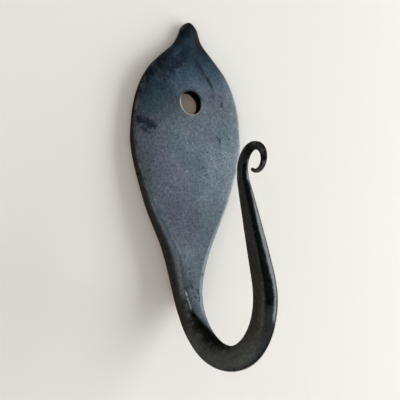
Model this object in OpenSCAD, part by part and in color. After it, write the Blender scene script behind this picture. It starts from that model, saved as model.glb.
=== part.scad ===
// Hand-forged wall hook, made from one bar of iron.
// The bar's top is spread into a flat leaf with one screw hole. Below it the bar is drawn out, bent
// forward and up into a hook, and curled outward at its end into a small scroll.
// The origin is the centre of the screw hole on the wall plane. +Z is up and -Y points away from the wall.

/* [Screw hole] */
// Diameter of the screw hole
hole_d = 6.5; // [3:0.5:8]

/* [Leaf outline] */
// Height of the leaf's tip above the screw hole
tip_rise = 24; // [20:0.5:34]
// Depth of the leaf's widest place below the screw hole
widest_drop = 9; // [4:0.5:14]
// Depth of the neck, where the hook starts, below the screw hole
neck_drop = 42; // [36:0.5:60]
// Width of the leaf at its widest place
leaf_w = 34; // [28:0.5:44]
// Width of the round nib at the very tip
nib_w = 4; // [3:0.2:6]
// Length over which the nib is rounded
nib_l = 2.7; // [1:0.1:3.5]
// Width of the drawn point where it meets the leaf's shoulders
point_w = 8.4; // [6:0.2:11]
// Length of the drawn point
point_l = 6; // [4:0.2:8]
// Width across the shoulders
shoulder_w = 24; // [18:0.5:27]
// Depth of the shoulders below the tip
shoulder_l = 15; // [12:0.5:18]
// Width of the lower flank, halfway in to the neck
flank_w = 24.5; // [17:0.5:27]
// Height of the lower flank above the neck
flank_rise = 14.5; // [10:0.5:18]

/* [Leaf section] */
// Thickness of the leaf
leaf_t = 3.2; // [2:0.1:4.5]
// Thickness of the drawn point
point_t = 2.1; // [1.6:0.1:4]
// Radius along the leaf's front edges
edge_r = 0.9; // [0.3:0.1:1.2]
// Radius along the edges that lie on the wall
back_r = 0.4; // [0.2:0.1:0.6]
// Depth dressed off the back so that the leaf seats flat on the wall
seat_trim = 0.2; // [0.1:0.05:0.3]

/* [Bar section] */
// Width of the bar at the neck
neck_w = 11.5; // [7:0.5:14]
// Thickness of the bar at the neck
neck_t = 6.4; // [5:0.2:9]
// Width of the bar at the bottom of the bend
bend_w = 5.6; // [4:0.2:9]
// Thickness of the bar at the bottom of the bend
bend_t = 5.6; // [3:0.2:7]
// Width of the bar at the foot of the arm
foot_w = 4.4; // [3:0.2:7]
// Thickness of the bar at the foot of the arm
foot_t = 4.3; // [3:0.1:6]
// Width of the bar where the arm runs into the scroll
arm_w = 2.4; // [1.6:0.1:4]
// Thickness of the bar where the arm runs into the scroll
arm_t = 2.5; // [1.6:0.1:4]
// Width of the bar halfway round the scroll
curl_w = 1.1; // [0.8:0.1:2.4]
// Thickness of the bar halfway round the scroll
curl_t = 1.6; // [1:0.1:2.4]
// Width and thickness of the scroll's drawn end
end_d = 0.9; // [0.4:0.1:1.2]
// Radius along the bar's edges, as far as the section has room for it
bar_r = 2; // [0.5:0.1:3]

/* [Hook] */
// Radius of the bend along the middle of the bar
bend_r = 14.6; // [11:0.2:20]
// Angle through which the bend turns, where 180 would bring the arm up parallel to the wall
bend_turn = 199; // [185:1:205]
// Length over which the bend tightens below the neck
ease_in = 15; // [4:0.5:20]
// Length over which the bend opens again at the foot of the arm
ease_out = 2; // [1:0.5:10]
// Length of the straight part of the arm
arm_l = 18; // [8:0.5:24]

/* [Scroll] */
// Length over which the arm curls into the scroll
lead_l = 10; // [7:0.5:14]
// Radius of the scroll where it starts
scroll_r = 3.8; // [3:0.1:5]
// Radius of the scroll halfway round
scroll_mid_r = 2.9; // [2.4:0.1:4]
// Radius of the scroll at its end
scroll_end_r = 2; // [1.8:0.1:3]
// Angle through which the scroll turns
scroll_turn = 345; // [220:5:350]

/* [Hammer drift] */
// Sideways drift of the leaf's middle from the screw hole, to the right
leaf_drift = 0.3; // [-1:0.1:1]
// Sideways drift of the neck from the screw hole, to the right
neck_drift = -1; // [-1.5:0.1:1.5]
// Sideways drift of the arm from the screw hole, to the right
arm_drift = 0.9; // [-1.5:0.1:1.5]
// Sideways drift of the scroll's end from the screw hole, to the right
end_drift = 1; // [-1.5:0.1:1.5]

/* [Hidden] */

// Rings along the leaf, the bend and arm, and the scroll, and facets round one corner of a section
nose_rings = 6;
leaf_rings = 40;
hook_rings = 56;
scroll_rings = 52;
corner_facets = 6;
// Share of a section's smaller side that its corner radius may take up
corner_share = 0.38;
// Reach of the cutting tools past the metal
clear = 2;

leaf_l = tip_rise + neck_drop;

// Turn of the bar for each millimetre along a curve of radius r, in degrees
function rate(r) = 180 / (PI * r);

// Distances along the bar from the neck to the end of the bend, the arm, the lead and the scroll
bend_end = bend_turn / rate(bend_r) + (ease_in + ease_out) / 2;
arm_end = bend_end + arm_l;
lead_end = arm_end + lead_l;
lead_turn = lead_l * rate(scroll_r) / 2;
bar_end = lead_end
    + (scroll_turn - lead_turn) * 4 / (rate(scroll_r) + 2 * rate(scroll_mid_r) + rate(scroll_end_r));
scroll_mid = (lead_end + bar_end) / 2;

// Turn rate of the bar against distance from the neck: forward round the bend, then back round the scroll
bends = [
    [0, 0],
    [ease_in, rate(bend_r)],
    [bend_end - ease_out, rate(bend_r)],
    [bend_end, 0],
    [arm_end, 0],
    [lead_end, -rate(scroll_r)],
    [scroll_mid, -rate(scroll_mid_r)],
    [bar_end, -rate(scroll_end_r)]
];

// Width of the metal against distance from the tip
widths = [
    [0, nib_w],
    [point_l, point_w],
    [shoulder_l, shoulder_w],
    [tip_rise + widest_drop, leaf_w],
    [leaf_l - flank_rise, flank_w],
    [leaf_l, neck_w],
    [leaf_l + bend_end / 2, bend_w],
    [leaf_l + bend_end, foot_w],
    [leaf_l + (arm_end + lead_end) / 2, arm_w],
    [leaf_l + scroll_mid, curl_w],
    [leaf_l + bar_end, end_d]
];

// Thickness of the metal against distance from the tip, with the seat's trim still on the leaf
thicknesses = [
    [0, point_t + seat_trim],
    [shoulder_l, leaf_t + seat_trim],
    [tip_rise + widest_drop, leaf_t + seat_trim],
    [leaf_l - flank_rise, (leaf_t + neck_t) / 2 + seat_trim],
    [leaf_l, neck_t + seat_trim],
    [leaf_l + bend_end / 2, bend_t],
    [leaf_l + bend_end, foot_t],
    [leaf_l + (arm_end + lead_end) / 2, arm_t],
    [leaf_l + scroll_mid, curl_t],
    [leaf_l + bar_end, end_d]
];

// Sideways drift of the metal against distance from the tip
drifts = [
    [0, leaf_drift],
    [tip_rise + widest_drop, leaf_drift],
    [leaf_l, neck_drift],
    [leaf_l + arm_end, arm_drift],
    [leaf_l + bar_end, end_drift]
];

// Slope of the chord from one row of a table to the next
function chord_slope(table, i) = (table[i + 1][1] - table[i][1]) / (table[i + 1][0] - table[i][0]);

// Slope of the smooth curve at a row, weighted so that the nearer neighbour counts for more
function slope(table, i) =
    i == 0 ? chord_slope(table, 0)
    : i == len(table) - 1 ? chord_slope(table, i - 1)
    : let (before = table[i][0] - table[i - 1][0], after = table[i + 1][0] - table[i][0])
        (before * chord_slope(table, i) + after * chord_slope(table, i - 1)) / (before + after);

// Value of the smooth curve through a table's rows at x
function smooth(table, x) =
    let (
        i = max([0, for (k = [0 : len(table) - 2]) if (table[k][0] <= x) k]),
        span = table[i + 1][0] - table[i][0],
        t = (x - table[i][0]) / span
    )
    (2 * t ^ 3 - 3 * t ^ 2 + 1) * table[i][1] + (t ^ 3 - 2 * t ^ 2 + t) * span * slope(table, i)
    + (3 * t ^ 2 - 2 * t ^ 3) * table[i + 1][1] + (t ^ 3 - t ^ 2) * span * slope(table, i + 1);

// Roundness of the nib at a distance from the tip: 0 at the tip and 1 past the rounded length
function nose(d) = d < nib_l ? sqrt(1 - (1 - d / nib_l) ^ 2) : 1;

function width_at(d) = smooth(widths, d) * nose(d);
function thickness_at(d) = smooth(thicknesses, d) * (1 + nose(d)) / 2;

// Angle turned through by distance s from the neck: the area under the turn rates up to s
function heading_at(s) =
    let (parts = [
        for (k = [0 : len(bends) - 2])
            let (from = bends[k][0], to = min(max(s, from), bends[k + 1][0]))
                (to - from) * (lookup(from, bends) + lookup(to, bends)) / 2
    ])
    parts * [for (part = parts) 1];

// Corner radius of a section, limited by its smaller side
function corner(r, w, t) = min(r, corner_share * min(w, t));

// One rounded section: x runs across the metal, and the second coordinate from its back to its front
function section(w, t, front_r, rear_r) = [
    for (quarter = [0 : 3], k = [0 : corner_facets])
        let (
            a = 90 * quarter + 90 * k / corner_facets,
            r = corner(quarter < 2 ? front_r : rear_r, w, t),
            across = quarter == 0 || quarter == 3 ? 1 : -1,
            out = quarter < 2 ? 1 : -1
        )
        [across * (w / 2 - r) + r * cos(a), out * (t / 2 - r) + r * sin(a)]
];

// The section at distance d from the tip, set at a centre [y, z] square to the bar's heading
function ring(d, centre, heading) = [
    for (p = section(width_at(d), thickness_at(d), front_r_at(d), rear_r_at(d)))
        [p[0] + smooth(drifts, d), centre[0] - p[1] * cos(heading), centre[1] + p[1] * sin(heading)]
];

// Edge radii against distance from the tip: crisp on the leaf, full on the bar
function front_r_at(d) = lookup(d, [[leaf_l - flank_rise, edge_r], [leaf_l, bar_r]]);
function rear_r_at(d) = lookup(d, [[leaf_l, back_r], [leaf_l + ease_in, bar_r]]);

// Distances of the leaf's rings from the tip, closer together round the nib
leaf_stations = [
    for (i = [0 : nose_rings]) nib_l * (1 - cos(3 + 87 * i / nose_rings)),
    for (i = [1 : leaf_rings]) nib_l + (leaf_l - nib_l) * i / leaf_rings
];

// Distances of the bar's rings from the neck, closer together round the scroll
bar_stations = [
    for (i = [0 : hook_rings]) arm_end * i / hook_rings,
    for (i = [1 : scroll_rings]) arm_end + (bar_end - arm_end) * i / scroll_rings
];

// Centres of the bar's rings, stepping along the mean heading from one to the next
function centres(i, centre) =
    i == len(bar_stations) - 1 ? [centre]
    : let (
        step = bar_stations[i + 1] - bar_stations[i],
        heading = (heading_at(bar_stations[i]) + heading_at(bar_stations[i + 1])) / 2
    )
    concat([centre], centres(i + 1, centre - step * [sin(heading), cos(heading)]));

bar_centres = centres(0, [seat_trim / 2 - neck_t / 2, -neck_drop]);

leaf_loft = [
    for (d = leaf_stations) ring(d, [seat_trim - thickness_at(d) / 2, tip_rise - d], 0)
];

bar_loft = [
    for (i = [1 : len(bar_stations) - 1])
        ring(leaf_l + bar_stations[i], bar_centres[i], heading_at(bar_stations[i]))
];

// A closed skin over a list of rings with equally many points
module loft(rings) {
    sides = len(rings[0]);
    last = (len(rings) - 1) * sides;
    skin = [
        for (i = [0 : len(rings) - 2], j = [0 : sides - 1])
            let (a = i * sides + j, b = i * sides + (j + 1) % sides)
                each [[a, a + sides, b], [b, a + sides, b + sides]]
    ];
    first_cap = [for (j = [0 : sides - 1]) j];
    last_cap = [for (j = [sides - 1 : -1 : 0]) last + j];
    polyhedron(points = [for (r = rings) each r], faces = concat(skin, [first_cap, last_cap]));
}

// Everything on the wall's side of the wall plane
module wall_side() {
    translate([-leaf_w / 2 - clear, 0, -leaf_l])
        cube([leaf_w + 2 * clear, neck_t, leaf_l + tip_rise + clear]);
}

// The plain hole for the screw
module screw_hole() {
    translate([0, clear, 0])
        rotate([90, 0, 0])
            cylinder(h = leaf_t + 2 * clear, d = hole_d, $fn = 64);
}

module hook() {
    color([0.22, 0.25, 0.28])
        difference() {
            loft(concat(leaf_loft, bar_loft));
            wall_side();
            screw_hole();
        }
}

hook();
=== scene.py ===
"""A hand-forged iron wall hook: a leaf with one screw hole, drawn out into a hook with a scrolled end.

The metal is one closed skin. It is worked out with numpy as rounded sections carried along the bar,
then dented by the hammer, and it is dressed in a blue-grey forge scale. The sheet behind it and the
lamps are the studio. Sizes are in millimetres, and meshes are in metres.
"""

from __future__ import annotations

import logging
import math
from dataclasses import dataclass, field
from enum import Enum

import bpy
import numpy as np
from mathutils import Matrix, Vector

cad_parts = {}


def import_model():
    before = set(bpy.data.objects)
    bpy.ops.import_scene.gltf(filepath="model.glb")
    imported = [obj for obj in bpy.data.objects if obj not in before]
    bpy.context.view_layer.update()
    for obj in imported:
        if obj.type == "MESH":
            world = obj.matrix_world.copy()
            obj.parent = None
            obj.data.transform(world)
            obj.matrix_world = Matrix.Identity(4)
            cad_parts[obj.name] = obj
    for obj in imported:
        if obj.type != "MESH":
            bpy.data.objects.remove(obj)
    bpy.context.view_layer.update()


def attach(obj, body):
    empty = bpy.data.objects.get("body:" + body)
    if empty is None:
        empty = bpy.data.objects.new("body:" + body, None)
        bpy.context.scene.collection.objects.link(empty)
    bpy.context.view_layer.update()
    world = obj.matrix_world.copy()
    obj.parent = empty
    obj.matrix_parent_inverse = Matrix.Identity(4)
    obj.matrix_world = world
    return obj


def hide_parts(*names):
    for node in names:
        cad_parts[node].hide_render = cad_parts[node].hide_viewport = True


# Metres in a millimetre, and a divisor in place of 0.
MM = 0.001
LEAST = 1e-9
LOG = logging.getLogger("wall_hook")

Colour = tuple[float, float, float]
Point = tuple[float, float, float]
Span = tuple[float, float]
Ranges = tuple[float, float, float, float]
Node = bpy.types.Node
Socket = bpy.types.NodeSocket
Outputs = bpy.types.bpy_prop_collection
Feed = Socket | float | Colour


class Patch(Enum):
    """A stretch of a section's outline, in the order in which the outline runs."""

    RIGHT_SIDE = "right side"
    FRONT_RIGHT_CORNER = "front right corner"
    FRONT_FACE = "front face"
    FRONT_LEFT_CORNER = "front left corner"
    LEFT_SIDE = "left side"
    REAR_LEFT_CORNER = "rear left corner"
    REAR_FACE = "rear face"
    REAR_RIGHT_CORNER = "rear right corner"


def smoothstep(x: np.ndarray) -> np.ndarray:
    """Gives 3x^2 - 2x^3 of x held between 0 and 1."""
    x = np.clip(x, 0.0, 1.0)
    return x * x * (3.0 - 2.0 * x)


def running_sum(values: np.ndarray, step: float) -> np.ndarray:
    """Gives the area under evenly spaced values up to each of them."""
    return np.concatenate([[0.0], np.cumsum((values[1:] + values[:-1]) / 2) * step])


def strip_quads(lines: np.ndarray) -> np.ndarray:
    """Joins each row of a table of place numbers to the next row with quads, closed round the row's ends."""
    ahead = np.roll(lines, -1, axis=1)
    return np.stack([lines[:-1], ahead[:-1], ahead[1:], lines[1:]], axis=-1).reshape(-1, 4)


@dataclass(frozen=True)
class Fade:
    """A smooth step from 0 up to an amount, which begins at a start and is complete a length further on."""

    start: float
    length: float
    amount: float = 1.0

    def at(self, x: np.ndarray) -> np.ndarray:
        """Gives the amount times the smooth step of (x - start) / length."""
        return self.amount * smoothstep((x - self.start) / self.length)


@dataclass(frozen=True)
class SmoothTable:
    """Values against distance, joined by one smooth curve.

    Each span is a cubic whose slope at a row is the mean of its two chords, the nearer one weighing more.
    """

    rows: tuple[Span, ...]

    def at(self, x: np.ndarray) -> np.ndarray:
        """Reads the curve.

        Args:
            x: Distances in millimetres.

        Returns:
            The curve's value at each distance.
        """
        xs, ys = np.array(self.rows).T
        span = np.diff(xs)
        chord = np.diff(ys) / span
        inner = (span[:-1] * chord[1:] + span[1:] * chord[:-1]) / (span[:-1] + span[1:])
        slope = np.concatenate([chord[:1], inner, chord[-1:]])
        i = np.clip(np.searchsorted(xs, x, side="right") - 1, 0, len(span) - 1)
        t = (x - xs[i]) / span[i]
        value = (2 * t**3 - 3 * t**2 + 1) * ys[i] + (3 * t**2 - 2 * t**3) * ys[i + 1]
        return value + span[i] * ((t**3 - 2 * t**2 + t) * slope[i] + (t**3 - t**2) * slope[i + 1])


@dataclass(frozen=True)
class BarPath:
    """The middle of the bar below the neck, seen from the side.

    The bar turns at a rate that changes evenly between the rows of a table, so its heading is the
    area under those rates and its place is the running sum of its headings.
    """

    bend_r: float = 14.6
    bend_turn: float = 199.0
    ease_in: float = 15.0
    ease_out: float = 2.0
    arm_l: float = 18.0
    lead_l: float = 10.0
    scroll_r: float = 3.8
    scroll_mid_r: float = 2.9
    scroll_end_r: float = 2.0
    scroll_turn: float = 345.0
    step: float = 0.01

    @property
    def bend_end(self) -> float:
        """Distance from the neck to the end of the bend."""
        return math.radians(self.bend_turn) * self.bend_r + (self.ease_in + self.ease_out) / 2

    @property
    def arm_end(self) -> float:
        """Distance from the neck to the end of the straight arm."""
        return self.bend_end + self.arm_l

    @property
    def lead_end(self) -> float:
        """Distance from the neck to the start of the scroll."""
        return self.arm_end + self.lead_l

    @property
    def end(self) -> float:
        """Distance from the neck to the scroll's end: the turn that is left over the mean rate of turning."""
        left = math.radians(self.scroll_turn) - self.lead_l / self.scroll_r / 2
        return self.lead_end + left * 4 / (1 / self.scroll_r + 2 / self.scroll_mid_r + 1 / self.scroll_end_r)

    def place(self, s: np.ndarray, start: Span) -> tuple[np.ndarray, np.ndarray, np.ndarray]:
        """Follows the bar.

        Args:
            s: Distances from the neck.
            start: Place of the bar's middle at the neck, as y and z.

        Returns:
            The heading in radians, y and z of the bar's middle at each distance.
        """
        fine = np.arange(0.0, self.end + self.step, self.step)
        bend_stops = (0.0, self.ease_in, self.bend_end - self.ease_out, self.bend_end)
        scroll_stops = (self.arm_end, self.lead_end, (self.lead_end + self.end) / 2, self.end)
        rates = [1 / r for r in (self.bend_r, self.scroll_r, self.scroll_mid_r, self.scroll_end_r)]
        turns = (0.0, rates[0], rates[0], 0.0, 0.0, -rates[1], -rates[2], -rates[3])
        heading = running_sum(np.interp(fine, bend_stops + scroll_stops, turns), self.step)
        y = start[0] - running_sum(np.sin(heading), self.step)
        z = start[1] - running_sum(np.cos(heading), self.step)
        return tuple(np.interp(s, fine, values) for values in (heading, y, z))


@dataclass(frozen=True)
class HammerMarks:
    """Shallow round dents, each a hollow whose depth falls off as exp(-distance^2 / radius^2)."""

    count: int
    radius: Span
    depth: Span
    seed: int

    def depth_at(self, points: np.ndarray, area: np.ndarray) -> np.ndarray:
        """Adds up the dents.

        Args:
            points: Places on the metal, one row each. The dents' centres are drawn from them.
            area: The share of the metal's area at each place, so that the dents are spread evenly.

        Returns:
            The depth below the untouched surface at each point.
        """
        rng = np.random.default_rng(self.seed)
        drawn = np.searchsorted(np.cumsum(area) / area.sum(), rng.uniform(0, 1, self.count))
        radius = rng.uniform(*self.radius, self.count)
        depth = rng.uniform(*self.depth, self.count)
        total = np.zeros(len(points))
        for centre, r, d in zip(points[drawn], radius, depth):
            total += d * np.exp(-((points - centre) ** 2).sum(axis=1) / r**2)
        return total


@dataclass
class SkinData:
    """A mesh as arrays: places in millimetres, quads, triangles, and a value for each place by name."""

    places: np.ndarray
    quads: np.ndarray
    triangles: np.ndarray = field(default_factory=lambda: np.zeros((0, 3), int))
    values: dict[str, np.ndarray] = field(default_factory=dict)

    def without_loose_places(self) -> SkinData:
        """Drops the places that no face uses and numbers the rest again.

        Returns:
            The skin with the same faces.
        """
        used = np.zeros(len(self.places), bool)
        used[np.concatenate([self.quads.reshape(-1), self.triangles.reshape(-1)])] = True
        number = np.cumsum(used) - 1
        values = {key: value[used] for key, value in self.values.items()}
        return SkinData(self.places[used], number[self.quads], number[self.triangles], values)


@dataclass(frozen=True)
class HoleBlock:
    """The block of grid cells that the screw hole takes the place of, in front and at the back."""

    ring: int
    front: int
    rear: int
    half: int
    ring_half: int

    def loop(self) -> np.ndarray:
        """Lists the grid steps once round the block.

        Returns:
            Rows of two: the columns and the rings from the block's middle.
        """
        across = np.arange(-self.half, self.half)
        down = np.arange(-self.ring_half, self.ring_half)
        return np.concatenate([
            np.stack([across, np.full(len(across), -self.ring_half)], axis=1),
            np.stack([np.full(len(down), self.half), down], axis=1),
            np.stack([-across, np.full(len(across), self.ring_half)], axis=1),
            np.stack([np.full(len(down), -self.half), -down], axis=1),
        ])


@dataclass(frozen=True)
class ScaleMap:
    """Where the metal's colour is painted lighter or darker, standing in for light and shade.

    Distances run from the leaf's tip in millimetres. Across the metal, -1 is its left edge and 1 its right
    edge. The scale of the leaf ends past the neck on a slant, and the bar beyond it is black.
    """

    run: float = 18.5
    slant: float = 9.0
    fade: float = 4.0
    wear_reach: float = 0.8
    corner_rate: float = 1.3
    corner_shift: float = 0.3
    lower_leaf: Fade = Fade(45.0, 12.0)

    # Painted shade: the scale is darker and bluer towards the leaf's top, more so on the left.
    dusk_lean: float = 0.5
    top_shade: Fade = Fade(-5.0, 17.0)

    # Painted light and shade on the sides and the bar: darker sides near the tip, lighter on the bend, darker
    # on the scroll, and black inside the bend.
    side_tone: float = 0.6
    leaf_tone: Fade = Fade(25.0, 25.0, 0.4)
    bend_tone: Fade = Fade(83.0, 6.0, 0.9)
    bend_fall: Fade = Fade(106.0, 10.0)
    scroll_fall: Fade = Fade(146.0, 8.0, 0.75)
    inside_black: float = 0.92
    inside_fall: Fade = Fade(112.0, 8.0)

    # Painted light and shade on the leaf's scale: darker at the tip's sides and the edges, a painted
    # highlight along the neck's right side, and a painted brightness along the leaf.
    tip_middle: float = -0.25
    tip_sides: Fade = Fade(0.25, 0.45, 0.85)
    tip_fall: Fade = Fade(5.0, 8.0)
    left_edge: Fade = Fade(0.5, 0.45)
    left_levels: Span = (-0.25, 0.3)
    left_half: Fade = Fade(-0.1, 0.8, 0.17)
    right_edge: Fade = Fade(0.75, 0.25, 0.12)
    neck_gleam: Fade = Fade(0.5, 0.4, 0.9)
    neck_start: Fade = Fade(70.0, 8.0)
    length_shade: SmoothTable = SmoothTable((
        (0.0, 0.12), (3.0, 0.3), (7.0, 0.7), (12.0, 0.9), (17.0, 1.1), (22.0, 0.84), (28.0, 0.86),
        (32.0, 1.05), (43.0, 1.1), (48.0, 1.08), (53.0, 0.84), (60.0, 0.84), (65.0, 0.97), (69.0, 0.82),
        (74.0, 0.68), (80.0, 0.75), (90.0, 0.8),
    ))

    def tone(self, along: np.ndarray, inside: np.ndarray) -> np.ndarray:
        """Gives the painted light and shade of the sides and the bar: darker sides near the tip, lighter on
        the bend, dark on the scroll, black inside the bend.

        Args:
            along: Distances from the tip.
            inside: 1 on the inside of the bend, past the end of the scale, and 0 elsewhere.

        Returns:
            A factor for the colour of the bar.
        """
        bend = self.bend_tone.at(along) * (1 - self.bend_fall.at(along))
        tone = (self.side_tone + self.leaf_tone.at(along) + bend) * (1 - self.scroll_fall.at(along))
        return tone * (1 - self.inside_black * inside * (1 - self.inside_fall.at(along)))

    def shade(self, along: np.ndarray, across: np.ndarray) -> np.ndarray:
        """Gives the painted light and shade of the leaf's scale: its brightness along the leaf times that of
        its edges and tip, with a painted highlight along the neck's right side.

        Args:
            along: Distances from the tip.
            across: Places across the metal, from -1 to 1.

        Returns:
            A factor for the colour of the scale.
        """
        low = self.lower_leaf.at(along)
        near_tip, near_neck = self.left_levels
        left = (near_neck * low + near_tip * (1 - low)) * self.left_edge.at(-across)
        margin = 1 + left - self.left_half.at(-across) * (1 - low)
        gleam = self.neck_gleam.at(across) * self.neck_start.at(along)
        strip = 1 - self.right_edge.at(across) + gleam
        tip = 1 - self.tip_sides.at(np.abs(across - self.tip_middle)) * (1 - self.tip_fall.at(along))
        return self.length_shade.at(along) * margin * strip * tip


@dataclass(frozen=True)
class ForgedHook:
    """The whole hook: leaf, neck, bend, arm and scroll, as one skin with one drilled hole."""

    hole_d: float = 6.5
    hole_rim: float = 0.3
    hole_flat: float = 0.15
    tip_rise: float = 24.0
    widest_drop: float = 9.0
    neck_drop: float = 42.0
    leaf_w: float = 34.0
    nib_w: float = 4.0
    nib_l: float = 2.7
    point_w: float = 8.4
    point_l: float = 6.0
    shoulder_w: float = 24.0
    shoulder_l: float = 15.0
    flank_w: float = 24.5
    flank_rise: float = 14.5
    leaf_t: float = 3.2
    point_t: float = 2.1
    edge_r: float = 0.9
    back_r: float = 0.4
    seat_trim: float = 0.2
    neck_w: float = 11.5
    neck_t: float = 6.4
    bend_w: float = 5.6
    bend_t: float = 5.6
    foot_w: float = 4.4
    foot_t: float = 4.3
    arm_w: float = 2.4
    arm_t: float = 2.5
    curl_w: float = 1.1
    curl_t: float = 1.6
    end_d: float = 0.9
    bar_r: float = 2.0
    corner_share: float = 0.38
    arm_corner_share: float = 0.25
    leaf_drift: float = 0.3
    neck_drift: float = -1.0
    arm_drift: float = 0.9
    end_drift: float = 1.0
    path: BarPath = BarPath()

    face_crown: float = 0.28
    face_crown_power: int = 7
    point_crown: float = 0.9
    point_crown_share: float = 0.6
    bar_crown: float = 0.17
    skin_in: float = 0.03
    dents: tuple[HammerMarks, ...] = (
        HammerMarks(count=170, radius=(2.2, 5.0), depth=(0.01, 0.05), seed=11),
        HammerMarks(count=420, radius=(0.7, 1.8), depth=(0.005, 0.025), seed=23),
    )
    scale: ScaleMap = ScaleMap()

    leaf_step: float = 0.36
    bar_step: float = 0.24
    nose_rings: int = 14
    first_angle: float = 2.0
    last_angle: float = 86.0
    face_cells: int = 48
    side_cells: int = 3
    corner_cells: int = 5
    rim_cells: int = 5
    wall_rows: tuple[float, ...] = (0.25, 0.5, 0.75)
    hole_half_cells: int = 6
    hole_squeeze: float = 0.96
    hole_ease: float = 1.9

    @property
    def leaf_l(self) -> float:
        """Length of the leaf from its tip to the neck."""
        return self.tip_rise + self.neck_drop

    def tables(self) -> tuple[SmoothTable, SmoothTable, SmoothTable]:
        """Sets out the metal's measures against distance from the tip.

        Returns:
            The tables of its width, its thickness and its sideways drift.
        """
        leaf, path = self.leaf_l, self.path
        widest, flank = self.tip_rise + self.widest_drop, leaf - self.flank_rise
        lead, curl = (path.arm_end + path.lead_end) / 2, (path.lead_end + path.end) / 2
        width = SmoothTable((
            (0.0, self.nib_w), (self.point_l, self.point_w), (self.shoulder_l, self.shoulder_w),
            (widest, self.leaf_w), (flank, self.flank_w), (leaf, self.neck_w),
            (leaf + path.bend_end / 2, self.bend_w), (leaf + path.bend_end, self.foot_w),
            (leaf + lead, self.arm_w), (leaf + curl, self.curl_w), (leaf + path.end, self.end_d),
        ))
        trim = self.seat_trim
        thickness = SmoothTable((
            (0.0, self.point_t + trim), (self.shoulder_l, self.leaf_t + trim), (widest, self.leaf_t + trim),
            (flank, (self.leaf_t + self.neck_t) / 2 + trim), (leaf, self.neck_t + trim),
            (leaf + path.bend_end / 2, self.bend_t), (leaf + path.bend_end, self.foot_t),
            (leaf + lead, self.arm_t), (leaf + curl, self.curl_t), (leaf + path.end, self.end_d),
        ))
        drift = SmoothTable((
            (0.0, self.leaf_drift), (widest, self.leaf_drift), (leaf, self.neck_drift),
            (leaf + path.arm_end, self.arm_drift), (leaf + path.end, self.end_drift),
        ))
        return width, thickness, drift

    def stations(self) -> np.ndarray:
        """Lists the rings' distances from the tip.

        They are evenly spaced on the leaf and on the bar. Round the nib and the drawn end they follow the
        cosine and the sine of even angles, so they are close together there.

        Returns:
            The distances in order.
        """
        turn = np.linspace(math.radians(self.first_angle), math.pi / 2, self.nose_rings)
        nose = self.nib_l * (1 - np.cos(turn))
        leaf = np.linspace(self.nib_l, self.leaf_l, round((self.leaf_l - self.nib_l) / self.leaf_step))[1:]
        end = self.leaf_l + self.path.end
        bar = np.linspace(self.leaf_l, end - self.end_d, round(self.path.end / self.bar_step))[1:]
        turn = np.linspace(0, math.radians(self.last_angle), self.nose_rings)[1:]
        return np.concatenate([nose, leaf, bar, end - self.end_d * (1 - np.sin(turn))])

    def outline_cells(self) -> dict[Patch, int]:
        """Says how many cells each patch of a section's outline is cut into, in the outline's order."""
        cells = {"side": self.side_cells, "corner": self.corner_cells, "face": self.face_cells}
        return {patch: cells[patch.value.split()[-1]] for patch in Patch}

    def patch_start(self, wanted: Patch) -> int:
        """Gives the column at which a patch starts."""
        cells, order = self.outline_cells(), list(Patch)
        return sum(cells[patch] for patch in order[: order.index(wanted)])

    def sections(
        self, w: np.ndarray, t: np.ndarray, front_r: np.ndarray, rear_r: np.ndarray, share: np.ndarray
    ) -> np.ndarray:
        """Draws a rounded rectangle for each ring.

        A face or side runs straight from one corner to the next, and a corner is a quarter circle:
        its centre plus r times the cosine and sine of an angle.

        Args:
            w: Width of each ring.
            t: Thickness of each ring.
            front_r: Radius of the two front corners of each ring.
            rear_r: Radius of the two rear corners of each ring.
            share: The largest a radius may be, as a share of the smaller side of each ring.

        Returns:
            An array of rings by columns by 2: across the metal, and from its back to its front.
        """
        limit = share * np.minimum(w, t)
        rf, rr = np.minimum(front_r, limit), np.minimum(rear_r, limit)
        corners = {
            Patch.FRONT_RIGHT_CORNER: (w / 2 - rf, t / 2 - rf, rf, 0.0),
            Patch.FRONT_LEFT_CORNER: (-w / 2 + rf, t / 2 - rf, rf, 90.0),
            Patch.REAR_LEFT_CORNER: (-w / 2 + rr, -t / 2 + rr, rr, 180.0),
            Patch.REAR_RIGHT_CORNER: (w / 2 - rr, -t / 2 + rr, rr, 270.0),
        }
        straights = {
            Patch.RIGHT_SIDE: ((w / 2, -t / 2 + rr), (w / 2, t / 2 - rf)),
            Patch.FRONT_FACE: ((w / 2 - rf, t / 2), (-w / 2 + rf, t / 2)),
            Patch.LEFT_SIDE: ((-w / 2, t / 2 - rf), (-w / 2, -t / 2 + rr)),
            Patch.REAR_FACE: ((-w / 2 + rr, -t / 2), (w / 2 - rr, -t / 2)),
        }
        parts = []
        for patch, cells in self.outline_cells().items():
            k = np.arange(cells)[None, :] / cells
            if patch in corners:
                cx, cy, r, start = corners[patch]
                angle = np.radians(start + 90 * k)
                x = cx[:, None] + r[:, None] * np.cos(angle)
                y = cy[:, None] + r[:, None] * np.sin(angle)
            else:
                (x0, y0), (x1, y1) = straights[patch]
                x = x0[:, None] + (x1 - x0)[:, None] * k
                y = y0[:, None] + (y1 - y0)[:, None] * k
            parts.append(np.stack([x, y], axis=-1))
        return np.concatenate(parts, axis=1)

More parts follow.
